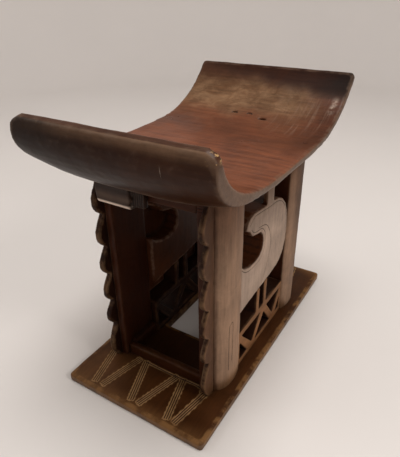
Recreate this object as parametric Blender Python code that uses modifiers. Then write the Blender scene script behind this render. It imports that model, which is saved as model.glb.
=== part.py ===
"""Carved stool with a curved seat, four corner posts, pierced side walls and a flat base.

Metres, +Z up.  X runs across the stool, Y runs along it; -Y is the near end.  The origin is the
middle of the base's underside.  The side walls and the ends are mirror images of each other, except
for three things: the side motif opens towards the near end on both walls, the left wall is closed at
its outer side from the rail up to the hollow, and the rail stub is left on one side of the near end.
"""
import math

import bmesh
import bpy
from mathutils import Matrix, Vector

MM = 0.001
GAP = 0.3

# base plate
BASE_W = 250.0
BASE_L = 481.0
BASE_T = 13.0
BASE_CORNER_R = 5.0
BASE_ROUND = 1.8
BASE_HOLE_W = 114.0
BASE_HOLE_L = 124.0

# incised bands on both ends of the base: (x at the inner end, x at the outer end)
BANDS = ((-98.0, -79.0), (-46.0, -64.0), (-33.0, -7.0), (28.0, 7.0), (40.0, 59.0), (85.0, 72.0))
BAND_Y_IN = 156.0
BAND_Y_OUT = 229.0
GROOVE_PITCH = 3.3
GROOVE_W = 1.9
GROOVE_D = 1.1

# heights of the middle part
FLOOR_Z = BASE_T + GAP
UNDER_SEAT_Z = 349.0
SILL_Z = 33.0
LINTEL_Z = 315.0

# wall plan, measured from the middle planes
WALL_IN = 71.0
WALL_OUT = 83.0
FRAME_Y = 158.0
BOARD_Y = 86.0
PILLAR_ROOT_Y = 149.0

# rounded outer side of a corner post as (x, y), from the end of the stool to the openwork
PILLAR_OUTLINE = ((90.0, 148.5), (95.5, 146.5), (99.5, 143.0), (103.0, 137.5), (105.8, 129.5),
                  (107.0, 119.5), (106.8, 109.5), (105.6, 100.0), (103.6, 92.0), (101.8, 88.0),
                  (99.5, 86.0))
LEDGE_X = 63.0
LEDGE_Y = 140.5
LEDGE_OVERLAP = 2.0

# scalloped flange
FLANGE_T = 8.0
FLANGE_ROOT_Y = 149.3
CUSP_Y = 161.0
LOBE_DEPTH = 14.0
LOBE_LEVELS = (331.0, 277.0, 224.0, 175.0, 125.5, 80.0, 13.3)
LOBE_STEPS = 9

# cross pieces
SILL_Y_OUT = 152.0
SILL_Y_IN = 141.0
LINTEL_Y_OUT = 157.0
LINTEL_Y_IN = 144.0
STUB_X = (-80.5, -23.0)
STUB_Y = (-158.3, -172.0)
STUB_Z = (304.0, 345.0)
STUB_END_R = 2.0
STUB_END_BULGE = 4.0
STUB_STEPS = 8

# thinner splintered end that the stub runs out into
SPLINTER_X = (-25.0, -3.0)
SPLINTER_Y = (-158.6, -167.0)
SPLINTER_Z = (308.0, 345.0)

# broken end of the stub, as steps in x and z from its lower corner
STUB_BREAK = ((2.0, 0.0), (-3.0, 7.0), (3.0, 14.0), (-1.0, 20.0))

# pierced middle of each wall
OPENWORK_X = (61.0, 100.0)
NECK_X = (91.0, 99.5)
NECK_Y = (-2.0, 21.0)
NECK_FOOT_Z = 262.0
RAIL_Z = (69.0, 79.0)
UPRIGHTS = ((-23.0, -13.0), (6.0, 16.0))

# outline of the side motif as (y, z), from the mouth of the hollow it curls round to its lower edge
MOTIF_OUTLINE = ((-85.7, 206.0), (-74.0, 196.0), (-58.0, 190.0), (-38.0, 188.5), (-22.0, 191.0),
                 (-12.5, 199.0), (-9.5, 212.0), (-13.0, 225.0), (-23.0, 234.0), (-35.0, 236.0),
                 (-51.0, 240.0), (-60.0, 251.0), (-72.0, 258.0), (-68.5, 266.0), (-60.0, 273.0),
                 (-48.0, 275.5), (-25.0, 273.0), (0.0, 269.5), (22.0, 268.0), (40.0, 265.5),
                 (57.0, 258.0), (71.0, 245.0), (80.5, 228.0), (85.0, 208.0), (85.7, 188.0),
                 (84.0, 168.0), (78.0, 150.0), (67.0, 138.5), (52.0, 132.5), (30.0, 129.0),
                 (0.0, 126.5), (-30.0, 125.0), (-60.0, 122.0), (-85.7, 119.0))

# points of the outline below this height belong to its lower edge
MOTIF_LOWER_EDGE_Z = 140.0

# webs that close the left wall at its outer side: thickness range, then outlines as (y, z) behind the
# hollow and between the rail and the motif's lower edge
WEB_X = (88.0, 98.0)
WEB_OUTLINES = (((-72.0, 191.0), (-72.0, 256.0), (-62.0, 262.0), (-30.0, 250.0), (-4.0, 226.0),
                 (-4.0, 198.0), (-22.0, 182.0), (-58.0, 183.0)),
                ((-85.4, 80.0), (-24.0, 80.0), (-24.0, 130.0), (-85.4, 124.0)),
                ((-12.0, 80.0), (5.0, 80.0), (5.0, 131.0), (-12.0, 130.0)),
                ((17.0, 80.0), (84.0, 80.0), (84.0, 176.0), (78.0, 160.0), (60.0, 142.0), (17.0, 132.0)))

# triangular openings under the rail as (y, z)
LATTICE_HOLES = (((-80.0, 58.0), (-80.0, 21.0), (-51.0, 21.0)),
                 ((-74.0, 68.5), (-34.0, 25.0), (-3.0, 68.5)),
                 ((10.0, 60.0), (-24.0, 21.0), (40.0, 21.0)),
                 ((20.0, 68.5), (50.0, 29.0), (78.0, 68.5)),
                 ((62.0, 21.0), (80.0, 21.0), (80.0, 50.0)))

# seat: stations along the length, (y, z) of the top, the underside at the rim and in the middle
SEAT_HALF_W = 145.0
NEAR_CORNER_R = 14.0
FAR_CORNER_R = 4.0
SEAT_COLUMNS = 14
SEAT_ROWS = 44
SEAT_END_CROWDING = 0.6
SEAT_SIDE_CROWDING = 0.35
UNDERSIDE_FULLNESS = 3
STEPS_PER_STATION = 8
SEAT_TOP = ((-226.0, 431.0), (-225.5, 418.0), (-221.5, 406.0), (-214.0, 395.0), (-203.0, 384.0),
            (-188.0, 374.0), (-170.0, 366.0), (-145.0, 358.5), (-115.0, 354.5), (-80.0, 352.5),
            (-40.0, 352.0), (0.0, 352.0), (40.0, 352.5), (75.0, 354.0), (105.0, 358.0),
            (130.0, 365.5), (155.0, 377.0), (178.0, 391.0), (198.0, 408.0), (210.0, 420.0),
            (217.0, 431.0))
SEAT_RIM = ((-235.0, 428.0), (-238.5, 413.0), (-237.0, 399.0), (-230.0, 385.5), (-217.0, 372.5),
            (-200.0, 362.0), (-177.0, 354.5), (-149.0, 349.5), (-116.0, 346.0), (-80.0, 344.5),
            (-40.0, 344.0), (0.0, 344.0), (40.0, 344.5), (76.0, 346.0), (107.0, 350.0),
            (133.0, 357.5), (160.0, 369.0), (184.0, 383.0), (205.0, 400.0), (218.0, 413.0),
            (225.5, 427.0))
SEAT_KEEL = ((-236.0, 428.0), (-240.0, 412.0), (-239.0, 395.0), (-232.0, 378.0), (-219.0, 362.0),
             (-202.0, 349.5), (-179.0, 341.0), (-150.0, 336.0), (-116.0, 333.0), (-80.0, 332.0),
             (-40.0, 332.0), (0.0, 332.0), (40.0, 332.0), (76.0, 332.5), (108.0, 335.0),
             (138.0, 341.0), (166.0, 353.0), (191.0, 369.0), (211.0, 389.0), (223.0, 406.0),
             (228.0, 426.0))
# small notches in the top: x, y, height of the surface there and length
NOTCHES = ((-28.0, 128.5, 365.0, 9.0), (0.0, 129.5, 365.0, 8.0), (28.0, 120.5, 362.0, 14.0))
NOTCH_W = 4.5
NOTCH_DEPTH = 3.0

# nodes whose tops are cut to the curve of the seat's underside
FITTED_UNDER_SEAT = ("post_", "scalloped_flange_", "lintel_", "rail_stub_", "side_motif_")

WOODS = {
    "seat": ((0.155, 0.075, 0.042), 0.42),
    "base": ((0.150, 0.085, 0.042), 0.55),
    "wall": ((0.125, 0.078, 0.050), 0.58),
    "dark": ((0.070, 0.040, 0.024), 0.60),
}


def clear_objects():
    for obj in list(bpy.data.objects):
        bpy.data.objects.remove(obj, do_unlink=True)


def new_collection(name, hidden):
    coll = bpy.data.collections.new(name)
    bpy.context.scene.collection.children.link(coll)
    coll.hide_render = hidden
    return coll


def wood_material(name, kind):
    colour, roughness = WOODS[kind]
    mat = bpy.data.materials.new(name + "_wood")
    mat.use_nodes = True
    shader = mat.node_tree.nodes["Principled BSDF"]
    shader.inputs["Base Color"].default_value = (*colour, 1.0)
    shader.inputs["Roughness"].default_value = roughness
    shader.inputs["Metallic"].default_value = 0.0
    return mat


def add_object(name, mesh, coll, kind=None):
    obj = bpy.data.objects.new(name, mesh)
    coll.objects.link(obj)
    if kind is None:
        obj.hide_render = True
        obj.display_type = "WIRE"
    else:
        mesh.materials.clear()
        mesh.materials.append(wood_material(name, kind))
    return obj


def mesh_from(bm, name):
    bmesh.ops.recalc_face_normals(bm, faces=bm.faces)
    mesh = bpy.data.meshes.new(name)
    bm.to_mesh(mesh)
    bm.free()
    return mesh


def box_mesh(name, x, y, z):
    """Box between the given limits in millimetres."""
    bm = bmesh.new()
    size = Vector((abs(x[1] - x[0]), abs(y[1] - y[0]), abs(z[1] - z[0]))) * MM
    middle = Vector(((x[0] + x[1]) / 2, (y[0] + y[1]) / 2, (z[0] + z[1]) / 2)) * MM
    bmesh.ops.create_cube(bm, size=1.0, matrix=Matrix.Translation(middle) @ Matrix.Diagonal((*size, 1.0)))
    return mesh_from(bm, name)


def outline_mesh(name, loops, depth, matrix):
    """Flat closed loops (millimetres) filled, given a thickness and turned into a welded mesh."""
    curve = bpy.data.curves.new(name + "_outline", "CURVE")
    curve.dimensions = "2D"
    curve.fill_mode = "BOTH"
    curve.extrude = depth * MM / 2
    curve.render_resolution_u = 0
    for loop in loops:
        spline = curve.splines.new("POLY")
        spline.points.add(len(loop) - 1)
        for point, (u, v) in zip(spline.points, loop):
            point.co = (u * MM, v * MM, 0.0, 1.0)
        spline.use_cyclic_u = True
    holder = bpy.data.objects.new(name + "_outline", curve)
    bpy.context.scene.collection.objects.link(holder)
    bpy.context.view_layer.update()
    evaluated = holder.evaluated_get(bpy.context.evaluated_depsgraph_get())
    mesh = bpy.data.meshes.new_from_object(evaluated)
    mesh.name = name
    bpy.data.objects.remove(holder, do_unlink=True)
    bpy.data.curves.remove(curve)
    bm = bmesh.new()
    bm.from_mesh(mesh)
    bmesh.ops.remove_doubles(bm, verts=bm.verts, dist=1e-6)
    bmesh.ops.transform(bm, matrix=matrix, verts=bm.verts)
    bmesh.ops.recalc_face_normals(bm, faces=bm.faces)
    bm.to_mesh(mesh)
    bm.free()
    return mesh


def upright_plan(z0, z1):
    """Matrix that stands an outline drawn as (x, y) between two heights."""
    return Matrix.Translation((0.0, 0.0, (z0 + z1) / 2 * MM))


def side_plan(x0, x1):
    """Matrix that turns an outline drawn as (y, z) into a slab between two X planes."""
    turn = Matrix(((0.0, 0.0, 1.0, 0.0), (1.0, 0.0, 0.0, 0.0), (0.0, 1.0, 0.0, 0.0), (0.0, 0.0, 0.0, 1.0)))
    return Matrix.Translation(((x0 + x1) / 2 * MM, 0.0, 0.0)) @ turn


def rounded_rectangle(half_w, half_l, radius, steps=6):
    points = []
    for corner, (sx, sy) in enumerate(((1, 1), (-1, 1), (-1, -1), (1, -1))):
        for step in range(steps + 1):
            angle = math.radians(90.0 * corner + 90.0 * step / steps)
            points.append((sx * (half_w - radius) + radius * math.cos(angle),
                           sy * (half_l - radius) + radius * math.sin(angle)))
    return points


def mirrored(mesh, name, flip_x, flip_y):
    """Copy of a mesh mirrored about the stool's middle planes."""
    copy = mesh.copy()
    copy.name = name
    bm = bmesh.new()
    bm.from_mesh(copy)
    flip = Matrix.Diagonal((-1.0 if flip_x else 1.0, -1.0 if flip_y else 1.0, 1.0, 1.0))
    bmesh.ops.transform(bm, matrix=flip, verts=bm.verts)
    bmesh.ops.recalc_face_normals(bm, faces=bm.faces)
    bm.to_mesh(copy)
    bm.free()
    return copy


def add_boolean(obj, cutter, operation):
    mod = obj.modifiers.new(operation.lower() + "_" + cutter.name, "BOOLEAN")
    mod.operation = operation
    mod.solver = "EXACT"
    mod.object = cutter


def add_bevel(obj, width, segments=2, angle=40.0):
    mod = obj.modifiers.new("worn_edges", "BEVEL")
    mod.width = width * MM
    mod.segments = segments
    mod.limit_method = "ANGLE"
    mod.angle_limit = math.radians(angle)
    mod.use_clamp_overlap = True


def shade_round(obj, angle=35.0):
    for face in obj.data.polygons:
        face.use_smooth = True
    obj.data.set_sharp_from_angle(angle=math.radians(angle))


def groove_cutter(coll):
    """Wedges of the six incised bands on both ends of the base, as one set of separate prisms."""
    bm = bmesh.new()
    surface = BASE_T * MM
    for end in (-1, 1):
        for x_in, x_out in BANDS:
            start = Vector((x_in, end * BAND_Y_IN, 0.0)) * MM
            finish = Vector((x_out, end * BAND_Y_OUT, 0.0)) * MM
            along = (finish - start).normalized()
            across = Vector((-along.y, along.x, 0.0))
            for step in (-1, 0, 1):
                middle = (start + finish) / 2 + across * step * GROOVE_PITCH * MM
                turn = Matrix((across, along, Vector((0.0, 0.0, 1.0)))).transposed().to_4x4()
                place = Matrix.Translation(middle + Vector((0.0, 0.0, surface))) @ turn
                size = Matrix.Diagonal((2 * GROOVE_W * MM, (finish - start).length, 2 * GROOVE_D * MM, 1.0))
                made = bmesh.ops.create_cube(bm, size=1.0, matrix=place @ size)
                bottom = [v for v in made["verts"] if (place.inverted() @ v.co).z < 0]
                for vert in bottom:
                    local = place.inverted() @ vert.co
                    local.x = 0.0
                    vert.co = place @ local
                bmesh.ops.remove_doubles(bm, verts=bottom, dist=1e-7)
    return add_object("groove_cutter", mesh_from(bm, "groove_cutter"), coll)


def build_base(parts, cutters):
    outer = rounded_rectangle(BASE_W / 2, BASE_L / 2, BASE_CORNER_R)
    hole = [(sx * BASE_HOLE_W / 2, sy * BASE_HOLE_L / 2) for sx, sy in ((1, 1), (-1, 1), (-1, -1), (1, -1))]
    mesh = outline_mesh("base_plate", (outer, hole), BASE_T, upright_plan(0.0, BASE_T))
    base = add_object("base_plate", mesh, parts, "base")
    add_bevel(base, BASE_ROUND, segments=2)
    add_boolean(base, groove_cutter(cutters), "DIFFERENCE")
    shade_round(base)


def seat_half_width(distance_to_end, radius):
    """Half width of the seat, rounded off over its last few millimetres."""
    inside = min(max(distance_to_end, 0.0), radius)
    return SEAT_HALF_W - radius + math.sqrt(radius ** 2 - (radius - inside) ** 2)


def station_shares():
    """Shares of the seat's length at which it has a row of points, closer together near the ends."""
    shares = []
    for row in range(SEAT_ROWS + 1):
        even = row / SEAT_ROWS
        crowded = 0.5 - 0.5 * math.cos(math.pi * even)
        shares.append(even + (crowded - even) * SEAT_END_CROWDING)
    return shares


def resample(points, shares):
    """Points at the given shares of a smooth path through the stations, and the path's length."""
    dense = []
    padded = [points[0], *points, points[-1]]
    for i in range(1, len(padded) - 2):
        p0, p1, p2, p3 = (Vector(p) for p in padded[i - 1:i + 3])
        for step in range(STEPS_PER_STATION):
            t = step / STEPS_PER_STATION
            dense.append(0.5 * ((2 * p1) + (p2 - p0) * t + (2 * p0 - 5 * p1 + 4 * p2 - p3) * t ** 2
                                + (3 * p1 - p0 - 3 * p2 + p3) * t ** 3))
    dense.append(Vector(points[-1]))
    reach = [0.0]
    for a, b in zip(dense, dense[1:]):
        reach.append(reach[-1] + (b - a).length)
    result = []
    j = 0
    for share_wanted in shares:
        want = reach[-1] * share_wanted
        while j < len(dense) - 2 and reach[j + 1] < want:
            j += 1
        share = (want - reach[j]) / (reach[j + 1] - reach[j])
        result.append(dense[j].lerp(dense[j + 1], min(max(share, 0.0), 1.0)))
    return result, reach[-1]


def build_seat(parts, cutters):
    shares = station_shares()
    top, length = resample(SEAT_TOP, shares)
    rim, _ = resample(SEAT_RIM, shares)
    keel, _ = resample(SEAT_KEEL, shares)
    bm = bmesh.new()
    bmesh.ops.create_grid(bm, x_segments=SEAT_COLUMNS, y_segments=SEAT_ROWS, size=1.0)
    lower = bmesh.ops.extrude_face_region(bm, geom=bm.faces[:])
    low_verts = {v for v in lower["geom"] if isinstance(v, bmesh.types.BMVert)}
    for vert in bm.verts:
        row = round((vert.co.y + 1.0) / 2.0 * SEAT_ROWS)
        across = vert.co.x
        ease = across + (math.sin(across * math.pi / 2) - across) * SEAT_SIDE_CROWDING
        near_half = shares[row] < 0.5
        end = (shares[row] if near_half else 1.0 - shares[row]) * length
        half_w = seat_half_width(end, NEAR_CORNER_R if near_half else FAR_CORNER_R)
        if vert in low_verts:
            blend = abs(ease) ** UNDERSIDE_FULLNESS
            spot = keel[row].lerp(rim[row], blend)
        else:
            spot = top[row]
        vert.co = Vector((ease * half_w, spot.x, spot.y)) * MM
    slab = mesh_from(bm, "seat")
    seat = add_object("seat", slab, parts, "seat")
    clearance = slab.copy()
    clearance.name = "seat_clearance"
    clearance.materials.clear()
    clearance.transform(Matrix.Translation((0.0, 0.0, -GAP * MM)))
    clearance_cutter = add_object("seat_clearance", clearance, cutters)
    for obj in parts.objects:
        if obj.name.startswith(FITTED_UNDER_SEAT):
            add_boolean(obj, clearance_cutter, "DIFFERENCE")
    bm = bmesh.new()
    for x, y, height, long in NOTCHES:
        place = Matrix.Translation(Vector((x, y, height)) * MM)
        size = Matrix.Diagonal((long * MM, NOTCH_W * MM, 2 * NOTCH_DEPTH * MM, 1.0))
        bmesh.ops.create_cube(bm, size=1.0, matrix=place @ size)
    notches = add_object("notch_cutter", mesh_from(bm, "notch_cutter"), cutters)
    add_boolean(seat, notches, "DIFFERENCE")
    shade_round(seat)


def build_posts(parts, cutters):
    plan = [(WALL_IN, -BOARD_Y), (WALL_IN, -FRAME_Y), (WALL_OUT - GAP, -FRAME_Y)]
    plan += [(WALL_OUT - GAP, -PILLAR_ROOT_Y), (WALL_OUT, -PILLAR_ROOT_Y)]
    plan += [(x, -y) for x, y in PILLAR_OUTLINE]
    height = UNDER_SEAT_Z - FLOOR_Z
    post = outline_mesh("post", (plan,), height, upright_plan(FLOOR_Z, UNDER_SEAT_Z))
    ledge = box_mesh("ledge", (LEDGE_X, WALL_IN + LEDGE_OVERLAP), (-LEDGE_Y, -BOARD_Y), (FLOOR_Z, SILL_Z))
    for end, flip_y in (("near", False), ("far", True)):
        for side, flip_x in (("right", False), ("left", True)):
            name = "post_" + end + "_" + side
            obj = add_object(name, mirrored(post, name, flip_x, flip_y), parts, "wall")
            cutter_name = "foot_ledge_" + end + "_" + side
            foot = add_object(cutter_name, mirrored(ledge, cutter_name, flip_x, flip_y), cutters)
            add_boolean(obj, foot, "UNION")
            shade_round(obj)


def lobe_outline():
    """Free edge of a flange: lobes that swell slowly downwards and turn back quickly."""
    points = [(-FLANGE_ROOT_Y, UNDER_SEAT_Z), (-CUSP_Y, UNDER_SEAT_Z), (-CUSP_Y, LOBE_LEVELS[0])]
    for high, low in zip(LOBE_LEVELS, LOBE_LEVELS[1:]):
        for step in range(1, LOBE_STEPS + 1):
            share = step / LOBE_STEPS
            swell = max(math.sin(math.pi * share ** 1.35), 0.0) ** 0.75
            points.append((-(CUSP_Y + LOBE_DEPTH * swell), high + (low - high) * share))
    points.append((-FLANGE_ROOT_Y, LOBE_LEVELS[-1]))
    return points


def build_flanges(parts):
    flange = outline_mesh("flange", (lobe_outline(),), FLANGE_T, side_plan(WALL_OUT, WALL_OUT + FLANGE_T))
    for end, flip_y in (("near", False), ("far", True)):
        for side, flip_x in (("right", False), ("left", True)):
            name = "scalloped_flange_" + end + "_" + side
            obj = add_object(name, mirrored(flange, name, flip_x, flip_y), parts, "wall")
            shade_round(obj, 30.0)


def build_cross_pieces(parts):
    reach = WALL_IN - GAP
    pieces = (("sill", (SILL_Y_OUT, SILL_Y_IN), (FLOOR_Z, SILL_Z), "base"),
              ("lintel", (LINTEL_Y_OUT, LINTEL_Y_IN), (LINTEL_Z, UNDER_SEAT_Z), "dark"))
    for label, y, z, kind in pieces:
        for end, sign in (("near", -1), ("far", 1)):
            name = label + "_" + end
            mesh = box_mesh(name, (-reach, reach), (sign * y[0], sign * y[1]), z)
            obj = add_object(name, mesh, parts, kind)
            add_bevel(obj, 1.5)
            shade_round(obj)


def build_stub(parts, cutters):
    x0, x1 = STUB_X
    z0, z1 = STUB_Z
    x_end = x0 + STUB_END_R
    middle, half = (z0 + z1) / 2, (z1 - z0) / 2
    plan = [(x1, z1), (x_end, z1)]
    for step in range(1, STUB_STEPS):
        angle = math.pi * step / STUB_STEPS
        plan.append((x_end - STUB_END_BULGE * math.sin(angle), middle + half * math.cos(angle)))
    plan.append((x_end, z0))
    plan += [(x1 + dx, z0 + dz) for dx, dz in STUB_BREAK]
    turn = Matrix(((1.0, 0.0, 0.0, 0.0), (0.0, 0.0, -1.0, 0.0), (0.0, 1.0, 0.0, 0.0), (0.0, 0.0, 0.0, 1.0)))
    place = Matrix.Translation((0.0, sum(STUB_Y) / 2 * MM, 0.0)) @ turn
    mesh = outline_mesh("rail_stub_near_left", (plan,), abs(STUB_Y[1] - STUB_Y[0]), place)
    obj = add_object("rail_stub_near_left", mesh, parts, "dark")
    add_bevel(obj, 1.2)
    splinter = add_object("splinter", box_mesh("splinter", SPLINTER_X, SPLINTER_Y, SPLINTER_Z), cutters)
    add_boolean(obj, splinter, "UNION")
    shade_round(obj)


def build_motifs(parts, cutters):
    body = outline_mesh("motif", (MOTIF_OUTLINE,), OPENWORK_X[1] - OPENWORK_X[0], side_plan(*OPENWORK_X))
    neck = box_mesh("neck", NECK_X, NECK_Y, (NECK_FOOT_Z, UNDER_SEAT_Z))
    webs = [outline_mesh("web", (line,), WEB_X[1] - WEB_X[0], side_plan(*WEB_X)) for line in WEB_OUTLINES]
    for side, flip_x in (("right", False), ("left", True)):
        name = "side_motif_" + side
        obj = add_object(name, mirrored(body, name, flip_x, False), parts, "wall")
        joined = add_object("neck_" + side, mirrored(neck, "neck_" + side, flip_x, False), cutters)
        add_boolean(obj, joined, "UNION")
        for number, web in enumerate(webs if side == "left" else ()):
            web_name = "web_" + side + "_" + str(number)
            back = add_object(web_name, mirrored(web, web_name, flip_x, False), cutters)
            add_boolean(obj, back, "UNION")
        shade_round(obj)


def motif_underside(y):
    """Height of the motif's lower edge above a point of the wall."""
    edge = sorted(p for p in MOTIF_OUTLINE if p[1] < MOTIF_LOWER_EDGE_Z)
    for (y0, z0), (y1, z1) in zip(edge, edge[1:]):
        if y0 <= y <= y1:
            return z0 + (z1 - z0) * (y - y0) / (y1 - y0)
    return edge[0][1]


def build_lattices(parts):
    reach = BOARD_Y - GAP
    outer = [(-reach, FLOOR_Z), (reach, FLOOR_Z), (reach, RAIL_Z[1])]
    for y0, y1 in reversed(UPRIGHTS):
        outer += [(y1, RAIL_Z[1]), (y1, motif_underside(y1) - GAP), (y0, motif_underside(y0) - GAP),
                  (y0, RAIL_Z[1])]
    outer.append((-reach, RAIL_Z[1]))
    mesh = outline_mesh("lattice", (outer, *LATTICE_HOLES), OPENWORK_X[1] - OPENWORK_X[0],
                        side_plan(*OPENWORK_X))
    for side, flip_x in (("right", False), ("left", True)):
        name = "lattice_band_" + side
        obj = add_object(name, mirrored(mesh, name, flip_x, False), parts, "wall")
        add_bevel(obj, 0.8, segments=1)
        shade_round(obj)


def main():
    clear_objects()
    parts = new_collection("carved_stool", False)
    cutters = new_collection("carved_stool_cutters", True)
    build_base(parts, cutters)
    build_posts(parts, cutters)
    build_flanges(parts)
    build_cross_pieces(parts)
    build_stub(parts, cutters)
    build_lattices(parts)
    build_motifs(parts, cutters)
    build_seat(parts, cutters)


main()
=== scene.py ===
"""Looks of the carved stool: every CAD member gets a hand-carved, well-used piece around the same frame.

Metres, +Z up, X across, Y along, -Y the near end.  Each piece takes the shape of its CAD member (the
base is drawn anew to the same box), is rounded and made uneven as carved wood is, has its incised lines
cut into the mesh, and gets an aged-wood material.
"""
import math

import bmesh
import bpy
import numpy as np
from mathutils import Matrix, Vector


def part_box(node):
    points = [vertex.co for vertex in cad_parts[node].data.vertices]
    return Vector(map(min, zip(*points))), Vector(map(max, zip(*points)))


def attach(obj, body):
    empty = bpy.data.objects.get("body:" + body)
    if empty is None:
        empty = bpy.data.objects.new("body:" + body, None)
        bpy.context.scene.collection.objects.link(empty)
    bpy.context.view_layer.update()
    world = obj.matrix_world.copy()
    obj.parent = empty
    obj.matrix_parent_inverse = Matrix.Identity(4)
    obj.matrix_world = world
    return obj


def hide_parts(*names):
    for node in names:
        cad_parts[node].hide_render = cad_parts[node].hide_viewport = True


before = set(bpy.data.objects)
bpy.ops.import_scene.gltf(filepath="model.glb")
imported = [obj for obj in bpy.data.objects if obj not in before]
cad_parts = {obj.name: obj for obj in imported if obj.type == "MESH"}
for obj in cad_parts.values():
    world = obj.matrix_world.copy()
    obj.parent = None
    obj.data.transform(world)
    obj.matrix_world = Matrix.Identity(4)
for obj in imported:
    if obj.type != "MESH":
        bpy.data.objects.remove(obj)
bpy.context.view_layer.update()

MM = 0.001
ENDS = (("near", -1), ("far", 1))
SIDES = (("right", 1), ("left", -1))

# carving
INFLATE = 0.35 * MM
SINK = 4.0 * MM
CURVE_STEPS = 6
CONVEX_ROUNDS = 5
CONVEX_SCALE = 0.35 * MM
WELD = 0.01 * MM

# incised lines: how squarely a surface has to face the side that is cut, then the reach of the finer
# mesh and the middle of the pale strip beside a line, both as multiples of the line's half width
FACING_LIMIT = 0.45
REFINE_REACH = 3.0
RIDGE_MIDDLE = 1.6
FAR_AWAY = 1e9

# tops that run up into the seat lie above this height and face upwards
SEAT_JOIN_Z = 332.0 * MM
TOP_FACING = 0.3

# incised bands on both ends of the base, as x at the inner and at the outer end (mm)
BANDS = ((-98.0, -79.0), (-46.0, -64.0), (-33.0, -7.0), (28.0, 7.0), (40.0, 59.0), (85.0, 72.0))
BAND_INNER_Y = 155.0
BAND_OUTER_Y = 229.0
GROOVE_PITCH = 3.4
GROOVE_HALF_W = 1.05
GROOVE_DEPTH = 1.1
BORDER = ((-34.0, 155.5), (10.0, 156.5), (42.0, 155.5), (66.0, 155.0), (75.0, 158.0), (77.0, 163.0))

# small notches in the seat's top: x, y, half length along x (mm)
NOTCHES = ((-28.0, 128.5, 5.0), (0.0, 129.5, 4.5), (28.0, 120.5, 7.0))


# ---------------------------------------------------------------------------------------------
# mesh work
# ---------------------------------------------------------------------------------------------

def cad_mesh(node):
    """Welded copy of a CAD node's mesh."""
    bm = bmesh.new()
    bm.from_mesh(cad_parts[node].data)
    bmesh.ops.remove_doubles(bm, verts=bm.verts, dist=WELD)
    mesh = bpy.data.meshes.new(node + "_carved")
    bm.to_mesh(mesh)
    bm.free()
    return mesh


def sink_ends(mesh, foot=True, head=True):
    """Runs a member's foot into the base and its top into the seat, so that no seam shows."""
    bm = bmesh.new()
    bm.from_mesh(mesh)
    lowest = min(v.co.z for v in bm.verts)
    tops = set()
    for face in bm.faces:
        if head and face.normal.z > TOP_FACING and face.calc_center_median().z > SEAT_JOIN_Z:
            tops.update(face.verts)
    for vert in bm.verts:
        if vert in tops:
            vert.co.z += SINK
        elif foot and vert.co.z < lowest + 0.1 * MM:
            vert.co.z -= SINK
    bm.to_mesh(mesh)
    bm.free()


def settle(obj):
    """Turns an object's modifiers into its mesh."""
    shaped = bpy.data.meshes.new_from_object(obj.evaluated_get(bpy.context.evaluated_depsgraph_get()))
    shaped.name = obj.name
    obj.modifiers.clear()
    obj.data = shaped


def uneven(obj, size, strength):
    """Raises and lowers the surface by soft lumps of the given size (mm)."""
    texture = bpy.data.textures.new(f"{obj.name}_lumps_{size}", "CLOUDS")
    texture.noise_scale = size * MM
    mod = obj.modifiers.new("uneven", "DISPLACE")
    mod.texture = texture
    mod.texture_coords = "LOCAL"
    mod.strength = strength * MM
    mod.mid_level = 0.5


def carve_solid(name, mesh, voxel, wear, waves=0.9, facets=0.5):
    """Rounded, slightly uneven solid, as a knife and long use leave it."""
    obj = bpy.data.objects.new(name, mesh)
    bpy.context.scene.collection.objects.link(obj)
    remesh = obj.modifiers.new("remesh", "REMESH")
    remesh.mode = "VOXEL"
    remesh.voxel_size = voxel * MM
    smooth = obj.modifiers.new("wear", "SMOOTH")
    smooth.factor = 0.5
    smooth.iterations = wear
    swell = obj.modifiers.new("swell", "DISPLACE")
    swell.strength = INFLATE
    swell.mid_level = 0.0
    uneven(obj, 38.0, waves)
    uneven(obj, 9.0, facets)
    settle(obj)
    return obj


def coordinates(mesh):
    co = np.zeros(len(mesh.vertices) * 3)
    mesh.vertices.foreach_get("co", co)
    return co.reshape(-1, 3)


def normals(mesh):
    found = np.zeros(len(mesh.vertices) * 3)
    mesh.vertices.foreach_get("normal", found)
    return found.reshape(-1, 3)


def smooth_path(points):
    """Polyline through the points along a Catmull-Rom curve."""
    padded = [points[0], *points, points[-1]]
    path = []
    for i in range(1, len(padded) - 2):
        p0, p1, p2, p3 = (np.array(p, float) for p in padded[i - 1:i + 3])
        for step in range(CURVE_STEPS):
            t = step / CURVE_STEPS
            path.append(0.5 * (2 * p1 + (p2 - p0) * t + (2 * p0 - 5 * p1 + 4 * p2 - p3) * t ** 2
                               + (3 * p1 - p0 - 3 * p2 + p3) * t ** 3))
    path.append(np.array(points[-1], float))
    return path


def distance_to(points, path):
    best = np.full(len(points), FAR_AWAY)
    for a, b in zip(path, path[1:]):
        ab = b - a
        t = np.clip((points - a) @ ab / max(ab @ ab, 1e-12), 0.0, 1.0)
        best = np.minimum(best, np.linalg.norm(points - a - t[:, None] * ab, axis=1))
    return best


def refine(obj, chosen, cuts):
    """Divides the faces whose corners are all chosen."""
    bm = bmesh.new()
    bm.from_mesh(obj.data)
    bm.verts.ensure_lookup_table()
    edges = [e for e in bm.edges if chosen[e.verts[0].index] and chosen[e.verts[1].index]]
    bmesh.ops.subdivide_edges(bm, edges=edges, cuts=cuts, use_grid_fill=True)
    bm.to_mesh(obj.data)
    bm.free()


def on_face(obj, plane, facing, paths):
    """Distance (mm) of each vertex from the paths in a plane, large where the surface looks elsewhere."""
    co = coordinates(obj.data)
    towards = normals(obj.data) @ np.array(facing, float)
    flat = co[:, plane] / MM
    distance = np.full(len(co), FAR_AWAY)
    near = towards > FACING_LIMIT
    for path in paths:
        distance[near] = np.minimum(distance[near], distance_to(flat[near], path))
    return distance


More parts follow.
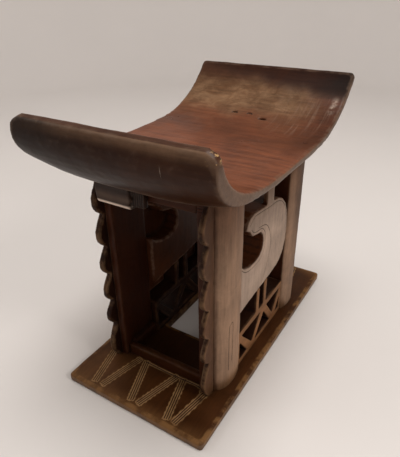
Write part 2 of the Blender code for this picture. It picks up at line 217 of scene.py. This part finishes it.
def add_mask(obj, name, values):
    layer = obj.data.attributes.get(name) or obj.data.attributes.new(name, "FLOAT", "POINT")
    layer.data.foreach_set("value", values.astype(np.float32))


def incise(obj, plane, facing, paths, half_width, depth, cuts=1):
    """V-shaped lines cut into one side of a piece, kept in its mask 'cut', with the strips beside in 'ridge'."""
    refine(obj, on_face(obj, plane, facing, paths) < half_width * REFINE_REACH, cuts)
    distance = on_face(obj, plane, facing, paths)
    bite = np.clip(1.0 - distance / half_width, 0.0, 1.0)
    co = coordinates(obj.data) - normals(obj.data) * (bite * depth * MM)[:, None]
    obj.data.vertices.foreach_set("co", co.ravel())
    obj.data.update()
    ridge = np.clip(1.0 - np.abs(distance - half_width * RIDGE_MIDDLE) / half_width, 0.0, 1.0)
    for name, fresh in (("cut", bite), ("ridge", ridge)):
        layer = obj.data.attributes.get(name)
        if layer:
            old = np.zeros(len(fresh), np.float32)
            layer.data.foreach_get("value", old)
            fresh = np.maximum(fresh, old)
        add_mask(obj, name, fresh)


def mark_edges(obj):
    """Keeps how convex the surface is at each point, for the wear on edges and the painted shade in hollows."""
    mesh = obj.data
    count = len(mesh.vertices)
    pairs = np.zeros(len(mesh.edges) * 2, np.int64)
    mesh.edges.foreach_get("vertices", pairs)
    a, b = pairs.reshape(-1, 2).T
    links = np.bincount(a, minlength=count) + np.bincount(b, minlength=count)
    co = coordinates(mesh)
    mean = co.copy()
    for _ in range(CONVEX_ROUNDS):
        total = np.stack([np.bincount(a, mean[b, k], count) + np.bincount(b, mean[a, k], count)
                          for k in range(3)], axis=1)
        mean = total / np.maximum(links, 1)[:, None]
    height = np.einsum("ij,ij->i", co - mean, normals(mesh))
    add_mask(obj, "convex", np.clip(height / CONVEX_SCALE, -1.0, 1.0))


def finish_piece(obj, nodes, material):
    mark_edges(obj)
    obj.data.materials.clear()
    obj.data.materials.append(material)
    for face in obj.data.polygons:
        face.use_smooth = True
    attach(obj, "root")
    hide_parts(*nodes)
    return obj


# ---------------------------------------------------------------------------------------------
# materials
# ---------------------------------------------------------------------------------------------

class Wood:
    """Node graph of one aged-wood material."""

    def __init__(self, name):
        self.material = bpy.data.materials.new(name)
        self.material.use_nodes = True
        self.tree = self.material.node_tree
        self.shader = self.tree.nodes["Principled BSDF"]
        self.place = self.add("ShaderNodeTexCoord").outputs["Object"]
        axes = self.add("ShaderNodeSeparateXYZ", Vector=self.place)
        self.x, self.y, self.z = axes.outputs
        way = self.add("ShaderNodeSeparateXYZ", Vector=self.add("ShaderNodeNewGeometry").outputs["Normal"])
        self.nx, self.ny, self.nz = way.outputs

    def add(self, kind, **values):
        node = self.tree.nodes.new(kind)
        for key, value in values.items():
            self.put(node.inputs[key.replace("_", " ")], value)
        return node

    def put(self, socket, value):
        if isinstance(value, bpy.types.NodeSocket):
            self.tree.links.new(value, socket)
        elif socket.type == "RGBA":
            socket.default_value = (*value[:3], 1.0)
        else:
            socket.default_value = value

    def math(self, operation, a, b=0.0, clamp=False):
        node = self.tree.nodes.new("ShaderNodeMath")
        node.operation = operation
        node.use_clamp = clamp
        self.put(node.inputs[0], a)
        self.put(node.inputs[1], b)
        return node.outputs[0]

    def product(self, *values):
        total = values[0]
        for value in values[1:]:
            total = self.math("MULTIPLY", total, value)
        return total

    def total(self, *values):
        result = values[0]
        for value in values[1:]:
            result = self.math("ADD", result, value)
        return result

    def ramp(self, value, low, high):
        """0 below low, 1 above high and smooth in between; the two may be given the other way round."""
        node = self.tree.nodes.new("ShaderNodeMapRange")
        node.interpolation_type = "SMOOTHSTEP"
        self.put(node.inputs["Value"], value)
        start, stop = (low, high) if low < high else (high, low)
        self.put(node.inputs["From Min"], start)
        self.put(node.inputs["From Max"], stop)
        self.put(node.inputs["To Min"], 0.0 if low < high else 1.0)
        self.put(node.inputs["To Max"], 1.0 if low < high else 0.0)
        return node.outputs["Result"]

    def between(self, value, low, high, soft):
        """1 between low and high, fading out over a soft border."""
        return self.product(self.ramp(value, low - soft, low + soft),
                            self.ramp(value, high + soft, high - soft))

    def mix(self, share, a, b):
        node = self.tree.nodes.new("ShaderNodeMix")
        node.data_type = "RGBA"
        self.put(node.inputs[0], share)
        self.put(node.inputs[6], a)
        self.put(node.inputs[7], b)
        return node.outputs[2]

    def paint(self, colour, mask, tone, share=1.0):
        """Lays a tone over the colour where the mask is."""
        return self.mix(self.product(mask, share) if share < 1.0 else mask, colour, srgb(*tone))

    def vary(self, colour, *parts):
        """Lightens and darkens a colour by signals round 0.5, each with its own strength."""
        factor = self.total(1.0, *(self.product(self.math("SUBTRACT", signal, 0.5), amount)
                                   for signal, amount in parts))
        return self.add("ShaderNodeHueSaturation", Value=factor, Color=colour).outputs[0]

    def stretched(self, scale, turn=(0.0, 0.0, 0.0)):
        node = self.tree.nodes.new("ShaderNodeMapping")
        self.put(node.inputs["Vector"], self.place)
        node.inputs["Scale"].default_value = scale
        node.inputs["Rotation"].default_value = turn
        return node.outputs[0]

    def noise(self, scale, detail=3.0, rough=0.55, bend=0.0, vector=None):
        node = self.add("ShaderNodeTexNoise", Scale=scale, Detail=detail, Roughness=rough, Distortion=bend)
        self.put(node.inputs["Vector"], vector or self.place)
        return node.outputs["Fac"]

    def drift(self, scale, amount, bend=0.4):
        """Irregular offset that keeps a border between two tones from running straight."""
        return self.product(self.math("SUBTRACT", self.noise(scale, 4.0, 0.6, bend), 0.5), amount)

    def mask(self, name):
        node = self.tree.nodes.new("ShaderNodeAttribute")
        node.attribute_name = name
        return node.outputs["Fac"]

    def corners(self, distance):
        node = self.add("ShaderNodeAmbientOcclusion", Distance=distance)
        node.samples = 6
        return self.math("SUBTRACT", 1.0, node.outputs["AO"])

    def outward(self):
        """How much the surface looks away from the stool's middle, across it."""
        return self.product(self.nx, self.math("SIGN", self.x))


def srgb(r, g, b):
    """Linear colour from display values of 0 to 255."""
    return tuple((c / 255 / 12.92) if c <= 10 else ((c / 255 + 0.055) / 1.055) ** 2.4 for c in (r, g, b))


# scales of the fibre noise for wood whose grain runs along X, Y or Z
GRAIN = {"x": (4.0, 60.0, 60.0), "y": (60.0, 4.0, 60.0), "z": (60.0, 60.0, 4.0)}


def aged_wood(name, tone, grain="y", gloss=0.5, edge=(120, 95, 75), edge_share=0.35, ridge=None, corner_shade=0.75,
              relief=0.22, sheen=0.12, finish=None):
    """Carved wood: fibres, blotches, rubbed edges, grit in the cuts, painted shade in hollows and corners, and a
    satin finish.
    """
    wood = Wood(name)
    fibres = wood.noise(3.4, 8.0, 0.62, 0.35, wood.stretched(GRAIN[grain]))
    fine = wood.noise(11.0, 5.0, 0.7, 0.2, wood.stretched(GRAIN[grain]))
    blotches = wood.noise(13.0, 5.0, 0.6, 0.7)
    specks = wood.noise(260.0, 4.0, 0.7)
    colour, roughness = srgb(*tone), gloss
    if finish:
        colour, roughness = finish(wood, colour, roughness)
    colour = wood.vary(colour, (fibres, 0.9), (fine, 0.45), (blotches, 1.3), (specks, 0.25))
    rubbed = wood.product(wood.ramp(wood.mask("convex"), 0.20, 0.85),
                          wood.ramp(wood.noise(55.0, 5.0, 0.6), 0.38, 0.62))
    colour = wood.paint(colour, rubbed, edge, edge_share)
    if ridge:
        colour = wood.paint(colour, wood.product(wood.ramp(wood.mask("ridge"), 0.0, 0.45),
                                                 wood.ramp(wood.noise(45.0, 4.0), 0.15, 0.55)), ridge, 0.85)
    # dark grit in the incised cuts, and painted shade in hollows and in corners near other parts
    grit_and_shade = wood.math("MAXIMUM", wood.product(wood.ramp(wood.mask("convex"), -0.15, -0.7), 0.5),
                      wood.product(wood.ramp(wood.mask("cut"), 0.25, 0.75), 0.85))
    grit_and_shade = wood.math("MAXIMUM", grit_and_shade, wood.product(wood.ramp(wood.corners(0.018), 0.30, 0.95), corner_shade))
    colour = wood.paint(colour, grit_and_shade, (20, 10, 5))
    height = wood.total(wood.product(fibres, 0.5), wood.product(fine, 0.3), wood.product(specks, 0.15))
    bump = wood.add("ShaderNodeBump", Strength=relief, Distance=0.001, Height=height)
    roughness = wood.total(roughness, wood.product(wood.math("SUBTRACT", blotches, 0.5), 0.35))
    wood.put(wood.shader.inputs["Base Color"], colour)
    wood.put(wood.shader.inputs["Roughness"], wood.math("MAXIMUM", roughness, 0.2))
    wood.put(wood.shader.inputs["Normal"], bump.outputs[0])
    wood.shader.inputs["Specular IOR Level"].default_value = sheen
    return wood.material


def seat_finish(wood, colour, roughness):
    """Red-brown polished top, darker to the far right, with a tan patch of wear on the far upturn, dark ends and
    grey rims with wear; below the top, painted shade towards the left and a painted highlight along the near
    upper edge.
    """
    above = wood.math("SUBTRACT", wood.nz, wood.product(wood.ny, wood.y, 5.0))
    on_top = wood.ramp(above, 0.10, 0.45)
    below = wood.math("SUBTRACT", 1.0, on_top)
    near, far = wood.ramp(wood.y, -0.05, -0.12), wood.ramp(wood.y, 0.04, 0.10)

    along_x = wood.noise(5.0, 5.0, 0.6, 0.5, wood.stretched((3.0, 22.0, 22.0)))
    scraped = wood.noise(5.0, 6.0, 0.65, 0.3, wood.stretched((5.0, 60.0, 60.0)))
    lengthwise = wood.noise(6.0, 5.0, 0.65, 0.1, wood.stretched((45.0, 2.5, 2.5)))
    # painted shade: below the top the seat is darker towards the left, away from the light on the right
    outer_x = wood.ramp(wood.x, -0.14, 0.14)
    colour = wood.mix(outer_x, colour, srgb(52, 27, 12))
    # painted highlight: a paler strip along the upper edge of the near face, stronger towards the right
    lip = wood.product(wood.ramp(wood.math("ADD", wood.z, wood.drift(14.0, 0.012)), 0.412, 0.428),
                       near, below, wood.ramp(wood.x, -0.16, 0.06))
    colour = wood.paint(colour, lip, (112, 86, 66), 0.8)
    band = wood.product(wood.ramp(wood.math("ADD", wood.z, wood.drift(11.0, 0.018)), 0.366, 0.348), below,
                        wood.ramp(scraped, 0.36, 0.62))
    colour = wood.paint(colour, band, (134, 112, 96), 0.85)
    scratched = wood.product(wood.ramp(lengthwise, 0.60, 0.70), wood.between(wood.x, 0.060, 0.118, 0.010),
                             wood.between(wood.z, 0.386, 0.404, 0.008), near, below)
    colour = wood.paint(colour, scratched, (176, 160, 142), 0.7)

    red = wood.mix(wood.ramp(wood.math("ADD", along_x, wood.drift(7.0, 0.5)), 0.34, 0.66),
                   srgb(88, 46, 27), srgb(114, 64, 40))
    red = wood.paint(red, wood.ramp(wood.y, -0.04, 0.12), (86, 47, 28), 0.75)
    # darker towards the right on the far half of the top
    darker_far_right = wood.product(wood.ramp(wood.x, 0.03, 0.13), wood.ramp(wood.y, -0.02, 0.06))
    red = wood.paint(red, darker_far_right, (72, 38, 21), 0.7)
    red = wood.paint(red, wood.product(wood.ramp(wood.z, 0.412, 0.426), near), (62, 38, 25), 0.9)
    colour = wood.mix(on_top, colour, red)
    height = wood.math("ADD", wood.z, wood.drift(9.0, 0.030, 0.8))
    upper = wood.product(wood.ramp(height, 0.388, 0.404), on_top, far)
    colour = wood.paint(colour, upper, (62, 38, 22), 0.8)
    strokes = wood.noise(34.0, 6.0, 0.62, 1.1, wood.stretched((1.0, 1.6, 1.6), (0.0, 0.5, 0.0)))
    tan = wood.mix(wood.ramp(strokes, 0.30, 0.70), srgb(94, 66, 43), srgb(124, 95, 69))
    patch = wood.product(wood.between(height, 0.367, 0.404, 0.012), on_top, far,
                         wood.ramp(wood.math("ADD", wood.x, wood.drift(9.0, 0.05)), 0.132, 0.065))
    colour = wood.mix(wood.product(patch, 0.85), colour, tan)
    streaky = wood.product(wood.ramp(lengthwise, 0.50, 0.64), wood.between(wood.x, 0.045, 0.136, 0.018),
                           wood.between(height, 0.358, 0.392, 0.010), on_top, far)
    colour = wood.paint(colour, streaky, (118, 92, 76), 0.4)
    sloping = wood.math("ADD", height, wood.product(wood.x, 0.10))
    crest = wood.product(wood.ramp(sloping, 0.398, 0.420), on_top, far)
    colour = wood.paint(colour, crest, (44, 20, 8), 0.95)
    corner = wood.product(wood.ramp(wood.x, 0.07, 0.14), wood.ramp(wood.z, 0.388, 0.410), on_top, far)
    colour = wood.paint(colour, corner, (24, 10, 4), 0.92)

    rim = wood.product(wood.ramp(wood.math("ABSOLUTE", wood.nx), 0.40, 0.80),
                       wood.ramp(wood.z, 0.425, 0.405))
    colour = wood.paint(colour, rim, (96, 76, 62), 0.8)
    gleam = wood.product(wood.between(wood.x, 0.127, 0.135, 0.004),
                         wood.between(wood.z, 0.376, 0.392, 0.007), on_top, far,
                         wood.ramp(wood.noise(90.0, 4.0), 0.40, 0.62))
    colour = wood.paint(colour, gleam, (176, 156, 140), 0.7)
    chip = wood.product(wood.ramp(wood.x, 0.131, 0.139), wood.between(wood.z, 0.419, 0.434, 0.003), near,
                        wood.ramp(wood.noise(120.0, 4.0, 0.7), 0.50, 0.60))
    colour = wood.paint(colour, chip, (208, 166, 112), 0.9)
    return colour, wood.total(roughness, wood.product(on_top, -0.06), wood.product(crest, 0.35))


def wall_finish(low, high, foot, start=0.08, stop=0.62):
    """Dusty side of a wall that looks outwards, over dark wood that also paints shade onto the inner and end
    sides, with painted shadow of the seat darkening the tops.
    """
    def finish(wood, colour, roughness):
        # dust on the sides that look outwards; the darker inner and end sides are partly painted shade
        outer = wood.ramp(wood.outward(), start, stop)
        # painted shadow of the seat: darker towards the top, and on the far post from lower down
        far_post = wood.ramp(wood.y, 0.09, 0.12)
        height = wood.total(wood.z, wood.drift(7.0, 0.08), wood.product(far_post, 0.07))
        tone = wood.mix(wood.ramp(height, 0.20, 0.33), srgb(*low), srgb(*high))
        tone = wood.paint(tone, wood.ramp(height, 0.050, 0.018), foot, 0.85)
        shaded = wood.product(far_post, wood.ramp(wood.z, -0.05, 0.33))
        tone = wood.paint(tone, shaded, (74, 56, 46), 0.8)
        return wood.mix(outer, colour, tone), wood.total(roughness, wood.product(outer, 0.08))
    return finish


def base_finish(wood, colour, roughness):
    """Dark top, paler towards the left and both ends, with greyish sides and painted shade on the area round the
    hole under the seat.
    """
    left = wood.ramp(wood.math("ADD", wood.x, wood.drift(8.0, 0.08)), 0.02, -0.12)
    colour = wood.paint(colour, left, (84, 54, 30), 0.8)
    front = wood.ramp(wood.math("ADD", wood.math("ABSOLUTE", wood.y), wood.drift(12.0, 0.03)), 0.214, 0.240)
    colour = wood.paint(colour, front, (100, 68, 38), 0.55)
    sides = wood.ramp(wood.nz, 0.55, 0.15)
    colour = wood.paint(colour, sides, (100, 78, 60), 0.9)
    # painted shade: the top round the hole, under the seat and between the walls, is darkened
    shade_under_seat = wood.product(wood.ramp(wood.math("ABSOLUTE", wood.x), 0.075, 0.062),
                          wood.ramp(wood.math("ABSOLUTE", wood.y), 0.150, 0.138))
    return wood.paint(colour, shade_under_seat, (50, 24, 5), 0.85), roughness


def stub_finish(wood, colour, roughness):
    """Dark bar with a paler belly that is a painted sheen, and a rubbed bottom edge brightened by a painted
    highlight.
    """
    whole = wood.ramp(wood.x, -0.020, -0.026)
    # painted sheen: a paler band along the middle of the rounded bar
    belly = wood.between(wood.math("ADD", wood.z, wood.drift(30.0, 0.004)), 0.311, 0.322, 0.005)
    colour = wood.paint(colour, wood.product(belly, whole), (76, 58, 47), 0.8)
    # painted highlight on the bottom edge, which is also rubbed
    rubbed_edge_highlight = wood.product(wood.ramp(wood.z, 0.3095, 0.3065), wood.ramp(wood.ny, 0.15, -0.25), whole)
    return wood.paint(colour, rubbed_edge_highlight, (214, 194, 178), 0.9), roughness


def materials():
    """The wood of each kind of piece, by the name the builders below use."""
    post_side = wall_finish((140, 112, 91), (104, 76, 58), (92, 62, 36))
    flange_side = wall_finish((84, 58, 41), (70, 46, 31), (84, 56, 32))
    motif_side = wall_finish((159, 138, 122), (88, 68, 55), (146, 125, 108), 0.45, 0.85)
    lattice_side = wall_finish((128, 90, 60), (128, 90, 60), (108, 72, 44), 0.40, 0.80)
    return {
        "seat": aged_wood("seat_wood", (28, 12, 3), grain="x", gloss=0.40, edge=(112, 90, 74),
                          edge_share=0.3, corner_shade=0.5, sheen=0.12, finish=seat_finish),
        "base": aged_wood("base_wood", (60, 32, 10), grain="y", gloss=0.46, edge=(136, 98, 58),
                          edge_share=0.6, ridge=(150, 116, 78), finish=base_finish),
        "sill": aged_wood("sill_wood", (52, 24, 6), grain="x", gloss=0.5, edge=(84, 58, 34), edge_share=0.3),
        "post": aged_wood("post_wood", (52, 22, 6), grain="z", gloss=0.55, edge=(90, 66, 48),
                          edge_share=0.15, finish=post_side),
        "flange": aged_wood("flange_wood", (34, 14, 5), grain="z", gloss=0.55, edge=(130, 100, 72),
                            edge_share=0.4, finish=flange_side),
        "motif": aged_wood("motif_wood", (62, 30, 10), grain="z", gloss=0.55, edge=(140, 116, 98),
                           edge_share=0.3, relief=0.14, finish=motif_side),
        "lattice": aged_wood("lattice_wood", (40, 19, 8), grain="y", gloss=0.55, edge=(112, 82, 56),
                             edge_share=0.3, finish=lattice_side),
        "lintel": aged_wood("lintel_wood", (52, 24, 9), grain="x", gloss=0.55, edge=(70, 48, 32),
                            edge_share=0.2),
        "stub": aged_wood("stub_wood", (36, 20, 11), grain="x", gloss=0.45, edge=(88, 66, 52),
                          edge_share=0.2, sheen=0.2, finish=stub_finish),
    }


# ---------------------------------------------------------------------------------------------
# pieces
# ---------------------------------------------------------------------------------------------

def seat_piece(wood):
    obj = carve_solid("seat_carved", cad_mesh("seat"), 2.04, 6, waves=1.2, facets=0.3)
    paths = [smooth_path([(x - half, y - 2.0), (x - half / 2, y + 0.6),
                          (x + half / 2, y + 0.9), (x + half, y - 1.4)])
             for x, y, half in NOTCHES]
    incise(obj, (0, 1), (0.0, -0.2, 1.0), paths, 1.8, 1.6, cuts=2)
    return finish_piece(obj, ["seat"], wood["seat"])


# base: radius of its corners, steps round each and half the sides of its hole
BASE_CORNER_R = 5.0 * MM
CORNER_STEPS = 6
BASE_HOLE_HALF = (57.0 * MM, 62.0 * MM)


def base_outline(low, high):
    """Flat plate with rounded corners and a rectangular hole."""
    curve = bpy.data.curves.new("base_outline", "CURVE")
    curve.dimensions = "2D"
    curve.fill_mode = "BOTH"
    curve.extrude = (high.z - low.z) / 2
    outer = []
    for corner, (x, y) in enumerate(((high.x, high.y), (low.x, high.y), (low.x, low.y), (high.x, low.y))):
        middle = Vector((x - math.copysign(BASE_CORNER_R, x), y - math.copysign(BASE_CORNER_R, y)))
        for step in range(CORNER_STEPS + 1):
            angle = math.radians(90.0 * corner + 90.0 / CORNER_STEPS * step)
            outer.append((middle.x + BASE_CORNER_R * math.cos(angle),
                          middle.y + BASE_CORNER_R * math.sin(angle)))
    half_x, half_y = BASE_HOLE_HALF
    inner = [(sx * half_x, sy * half_y) for sx, sy in ((1, 1), (-1, 1), (-1, -1), (1, -1))]
    for loop in (outer, inner):
        spline = curve.splines.new("POLY")
        spline.points.add(len(loop) - 1)
        for point, (x, y) in zip(spline.points, loop):
            point.co = (x, y, 0.0, 1.0)
        spline.use_cyclic_u = True
    holder = bpy.data.objects.new("base_outline", curve)
    bpy.context.scene.collection.objects.link(holder)
    bpy.context.view_layer.update()
    mesh = bpy.data.meshes.new_from_object(holder.evaluated_get(bpy.context.evaluated_depsgraph_get()))
    bpy.data.objects.remove(holder)
    bm = bmesh.new()
    bm.from_mesh(mesh)
    bmesh.ops.remove_doubles(bm, verts=bm.verts, dist=WELD)
    bmesh.ops.translate(bm, vec=(0.0, 0.0, (low.z + high.z) / 2), verts=bm.verts)
    bm.to_mesh(mesh)
    bm.free()
    return mesh


def base_piece(wood):
    obj = carve_solid("base_carved", base_outline(*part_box("base_plate")), 2.3, 3, waves=0.7, facets=0.3)
    paths = []
    for _, end in ENDS:
        for x_in, x_out in BANDS:
            start = np.array((x_in, end * BAND_INNER_Y))
            stop = np.array((x_out, end * BAND_OUTER_Y))
            along = (stop - start) / np.linalg.norm(stop - start)
            across = np.array((-along[1], along[0]))
            for step in (-1, 0, 1):
                paths.append([start + across * step * GROOVE_PITCH, stop + across * step * GROOVE_PITCH])
        paths.append(smooth_path([(x, end * y) for x, y in BORDER]))
    incise(obj, (0, 1), (0.0, 0.0, 1.0), paths, GROOVE_HALF_W, GROOVE_DEPTH, cuts=3)
    return finish_piece(obj, ["base_plate"], wood["base"])


def member(node, name, voxel=1.6, wear=4, foot=True, head=True, **shape):
    """Carved piece that stands for one CAD node, ready for its own cuts."""
    mesh = cad_mesh(node)
    sink_ends(mesh, foot, head)
    return carve_solid(name, mesh, voxel, wear, **shape)


# cracks along the posts' outer sides, as (y, z) in mm
POST_CRACKS = {"post_near_right": (((-128.5, 131.0), (-129.5, 92.0), (-128.5, 45.0)),
                                   ((-128.5, 131.0), (-121.0, 133.0), (-120.5, 96.0), (-121.5, 60.0))),
               "post_far_right": (((122.0, 136.0), (121.5, 108.0), (123.0, 82.0)),)}

# striated end of the block between the near right post and the seat, as (x, z) in mm
BLOCK_LINES = (((71.5, 329.0), (82.5, 330.5)), ((71.5, 324.5), (82.5, 325.5)), ((72.0, 320.0), (82.5, 321.0)))


def post_pieces(wood):
    for end, _ in ENDS:
        for side, _ in SIDES:
            node = f"post_{end}_{side}"
            obj = member(node, f"{node}_carved", voxel=2.0)
            paths = [smooth_path(line) for line in POST_CRACKS.get(node, ())]
            if paths:
                incise(obj, (1, 2), (1.0, 0.0, 0.0), paths, 0.9, 0.9, cuts=2)
            if node == "post_near_right":
                paths = [[np.array(p) for p in line] for line in BLOCK_LINES]
                incise(obj, (0, 2), (0.0, -1.0, 0.0), paths, 0.9, 0.9, cuts=2)
            finish_piece(obj, [node], wood["post"])


def flange_pieces(wood):
    for end, _ in ENDS:
        for side, _ in SIDES:
            node = f"scalloped_flange_{end}_{side}"
            obj = member(node, f"{node}_carved", voxel=1.4, wear=3)
            finish_piece(obj, [node], wood["flange"])


# lines incised on the outer face of each motif, as (y, z) in mm
HOLLOW_LINE = ((-84.0, 199.0), (-72.0, 189.5), (-57.0, 184.5), (-38.0, 183.0), (-18.0, 186.0), (-7.5, 196.0),
               (-4.0, 212.0), (-8.5, 228.0), (-20.0, 239.0), (-34.0, 241.5), (-48.0, 245.0), (-57.0, 254.0))
SWEEP_LINE = ((-32.0, 245.0), (-6.0, 239.0), (11.0, 220.0), (18.0, 191.0), (6.0, 156.0), (-7.0, 136.0))
RIM_LINE = ((-63.0, 262.0), (-48.0, 270.5), (-25.0, 268.5), (0.0, 265.0), (22.0, 263.5), (38.0, 261.0),
            (54.0, 254.0), (67.0, 242.0), (76.0, 226.5), (80.5, 207.0), (81.0, 188.0), (79.5, 170.0),
            (74.0, 153.0), (64.5, 142.5), (51.0, 137.0), (30.0, 133.5))


# groove where the motif meets the near post
SEAM_LINE = ((-84.9, 205.0), (-84.9, 160.0), (-84.9, 120.0))


def motif_pieces(wood):
    paths = [smooth_path(line) for line in (HOLLOW_LINE, SWEEP_LINE, RIM_LINE, SEAM_LINE)]
    for side, sign in SIDES:
        node = f"side_motif_{side}"
        obj = member(node, f"{node}_carved", voxel=1.7, foot=False)
        incise(obj, (1, 2), (sign, 0.0, 0.0), paths, 1.0, 1.0, cuts=2)
        finish_piece(obj, [node], wood["motif"])


def lattice_pieces(wood):
    for side, _ in SIDES:
        node = f"lattice_band_{side}"
        obj = member(node, f"{node}_carved", voxel=1.5, wear=3, head=False)
        finish_piece(obj, [node], wood["lattice"])


def cross_pieces(wood):
    for end, _ in ENDS:
        for label, slot in (("sill", "base_wood"), ("lintel", "dark_wood")):
            node = f"{label}_{end}"
            obj = member(node, f"{node}_carved", foot=label == "sill", head=label == "lintel")
            finish_piece(obj, [node], wood[label])


# splits along the stub's broken end: their places along x and how far up they run (mm)
SPLINTER_LINES = (-20.0, -16.5, -13.0, -9.5, -6.0)
SPLINTER_Z = (309.0, 338.0)


def stub_piece(wood):
    obj = member("rail_stub_near_left", "rail_stub_carved", voxel=1.0, wear=9, foot=False, facets=0.25)
    paths = [[np.array((x, SPLINTER_Z[0])), np.array((x + 0.8, SPLINTER_Z[1]))] for x in SPLINTER_LINES]
    incise(obj, (0, 2), (0.0, -1.0, 0.0), paths, 1.1, 1.4, cuts=1)
    finish_piece(obj, ["rail_stub_near_left"], wood["stub"])


# ---------------------------------------------------------------------------------------------
# studio
# ---------------------------------------------------------------------------------------------

FLOOR_RADIUS = 2.2
COVE_RADIUS = 0.7
COVE_STEPS = 12
WALL_TOP = 3.2
TURN_STEPS = 96


def studio():
    """Pale floor that curves up into a wall all round."""
    profile = [(0.0, 0.0), (FLOOR_RADIUS, 0.0)]
    for step in range(1, COVE_STEPS + 1):
        angle = math.radians(90.0 * step / COVE_STEPS)
        profile.append((FLOOR_RADIUS + COVE_RADIUS * math.sin(angle), COVE_RADIUS * (1 - math.cos(angle))))
    profile.append((FLOOR_RADIUS + COVE_RADIUS, WALL_TOP))
    bm = bmesh.new()
    verts = [bm.verts.new((r, 0.0, z)) for r, z in profile]
    edges = [bm.edges.new(pair) for pair in zip(verts, verts[1:])]
    bmesh.ops.spin(bm, geom=verts + edges, cent=(0, 0, 0), axis=(0, 0, 1), angle=2 * math.pi,
                   steps=TURN_STEPS, use_merge=True, use_duplicate=False)
    bmesh.ops.remove_doubles(bm, verts=bm.verts, dist=10 * WELD)
    bmesh.ops.recalc_face_normals(bm, faces=bm.faces)
    mesh = bpy.data.meshes.new("studio_floor")
    bm.to_mesh(mesh)
    bm.free()
    for face in mesh.polygons:
        face.use_smooth = True
    floor = bpy.data.objects.new("studio_floor", mesh)
    bpy.context.scene.collection.objects.link(floor)
    paint = Wood("pale_floor")
    tone = paint.noise(1.5, 3.0)
    paint.put(paint.shader.inputs["Base Color"], paint.mix(tone, srgb(216, 210, 206), srgb(223, 217, 213)))
    paint.shader.inputs["Roughness"].default_value = 0.6
    mesh.materials.append(paint.material)


def soft_light(name, place, target, size, power, colour):
    light = bpy.data.lights.new(name, "AREA")
    light.shape = "DISK"
    light.size = size
    light.energy = power
    light.color = colour
    obj = bpy.data.objects.new(name, light)
    obj.location = place
    obj.rotation_euler = (Vector(target) - Vector(place)).to_track_quat("-Z", "Y").to_euler()
    bpy.context.scene.collection.objects.link(obj)


def lights():
    target = (0.0, 0.0, 0.25)
    soft_light("overhead", (0.2, 0.1, 2.5), target, 1.2, 31.0, (1.0, 0.985, 0.965))
    soft_light("right", (1.7, -0.2, 1.5), target, 0.6, 13.5, (1.0, 0.97, 0.94))
    soft_light("left_fill", (-2.0, -1.0, 1.9), (-0.9, 0.4, 0.0), 1.4, 9.0, (1.0, 0.99, 0.97))
    world = bpy.data.worlds.new("pale_room")
    world.use_nodes = True
    world.node_tree.nodes["Background"].inputs["Color"].default_value = (0.95, 0.93, 0.90, 1.0)
    world.node_tree.nodes["Background"].inputs["Strength"].default_value = 0.5
    bpy.context.scene.world = world


CAMERA_PLACE = (0.3362, -0.57415, 0.56824)
CAMERA_YAW, CAMERA_PITCH, CAMERA_ROLL = -32.004, 28.872, -0.732
CAMERA_LENS = 35.63


def camera():
    yaw, pitch, roll = (math.radians(a) for a in (CAMERA_YAW, CAMERA_PITCH, CAMERA_ROLL))
    forward = Vector((math.sin(yaw) * math.cos(pitch), math.cos(yaw) * math.cos(pitch), -math.sin(pitch)))
    right = Vector((math.cos(yaw), -math.sin(yaw), 0.0))
    up = right.cross(forward)
    level_right, level_up = right.copy(), up.copy()
    right = math.cos(roll) * level_right + math.sin(roll) * level_up
    up = math.cos(roll) * level_up - math.sin(roll) * level_right
    data = bpy.data.cameras.new("photo_angle")
    data.lens = CAMERA_LENS
    data.sensor_width = 36.0
    data.clip_start = 0.01
    obj = bpy.data.objects.new("photo_angle", data)
    turn = Matrix((right, up, -forward)).transposed().to_4x4()
    obj.matrix_world = Matrix.Translation(CAMERA_PLACE) @ turn
    bpy.context.scene.collection.objects.link(obj)
    bpy.context.scene.camera = obj


def main():
    wood = materials()
    seat_piece(wood)
    base_piece(wood)
    post_pieces(wood)
    flange_pieces(wood)
    motif_pieces(wood)
    lattice_pieces(wood)
    cross_pieces(wood)
    stub_piece(wood)
    studio()
    lights()
    camera()
    bpy.context.scene.view_settings.view_transform = "Standard"


main()
